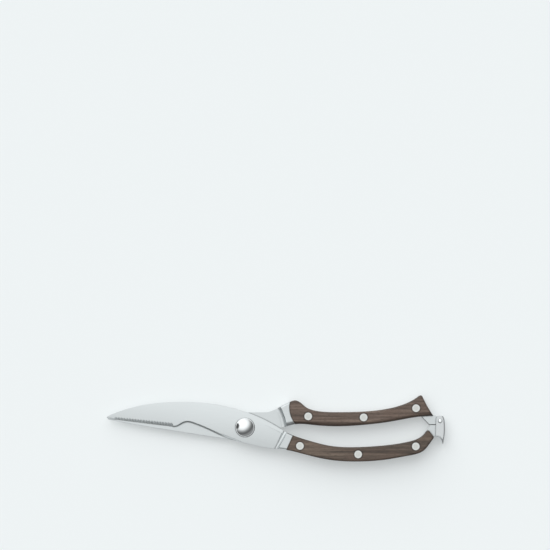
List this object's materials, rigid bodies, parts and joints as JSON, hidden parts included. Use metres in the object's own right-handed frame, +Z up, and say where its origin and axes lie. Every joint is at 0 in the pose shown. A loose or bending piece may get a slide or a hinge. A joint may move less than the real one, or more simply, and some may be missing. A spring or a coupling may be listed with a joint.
{
  "type": "poultry shears",
  "caption": "Poultry shears with a curved serrated blade with a bone notch over a counter blade, a domed pivot, riveted wood-scale handles, an inner opening spring and a swinging tail latch.",
  "frame": {"origin": "on the pivot's axis, in the plane that the shears rest on: the flat back of the pivot screw's head", "axes": "+X lengthwise from the tips to the handles, +Y across the blades towards the upper handle, +Z up out of the front face"},
  "size_m": [0.2499, 0.0488, 0.0126],
  "materials": {
    "blade_steel": "satin ground",
    "wood": "oiled, fine dark grain",
    "rivet_metal": "matte, ground flush",
    "polished_steel": "polished",
    "spring_steel": "bright drawn",
    "latch_steel": "satin pressed"
  },
  "bodies": {
    "back_half": {"back_blade": "blade_steel", "upper_scale_front": "wood", "upper_scale_back": "wood", "rivet_sleeve_upper_front": "rivet_metal", "rivet_post_upper_front": "rivet_metal", "rivet_sleeve_upper_middle": "rivet_metal", "rivet_post_upper_middle": "rivet_metal", "rivet_sleeve_upper_rear": "rivet_metal", "rivet_post_upper_rear": "rivet_metal", "pivot_screw": "polished_steel", "pivot_cap": "polished_steel", "pivot_washer": "polished_steel", "opening_spring": "spring_steel", "stop_pin": "polished_steel", "latch_pin": "polished_steel"},
    "front_half": {"front_blade": "blade_steel", "lower_scale_front": "wood", "lower_scale_back": "wood", "rivet_sleeve_lower_front": "rivet_metal", "rivet_post_lower_front": "rivet_metal", "rivet_sleeve_lower_middle": "rivet_metal", "rivet_post_lower_middle": "rivet_metal", "rivet_sleeve_lower_rear": "rivet_metal", "rivet_post_lower_rear": "rivet_metal"},
    "latch": {"latch": "latch_steel"}
  },
  "joints": [
    {"name": "opening", "type": "hinge", "parent": "back_half", "child": "front_half", "pos_m": [0, 0, 0], "axis": [0, 0, -1], "range_deg": [0, 28], "stiffness_Nm_per_rad": 0.7, "springref_deg": 48.7, "deforming": ["opening_spring"]},
    {"name": "latch_swing", "type": "hinge", "parent": "back_half", "child": "latch", "pos_m": [0.1442, 0.0048, 0.006], "axis": [0, 0, 1], "range_deg": [-6, 110]}
  ]
}
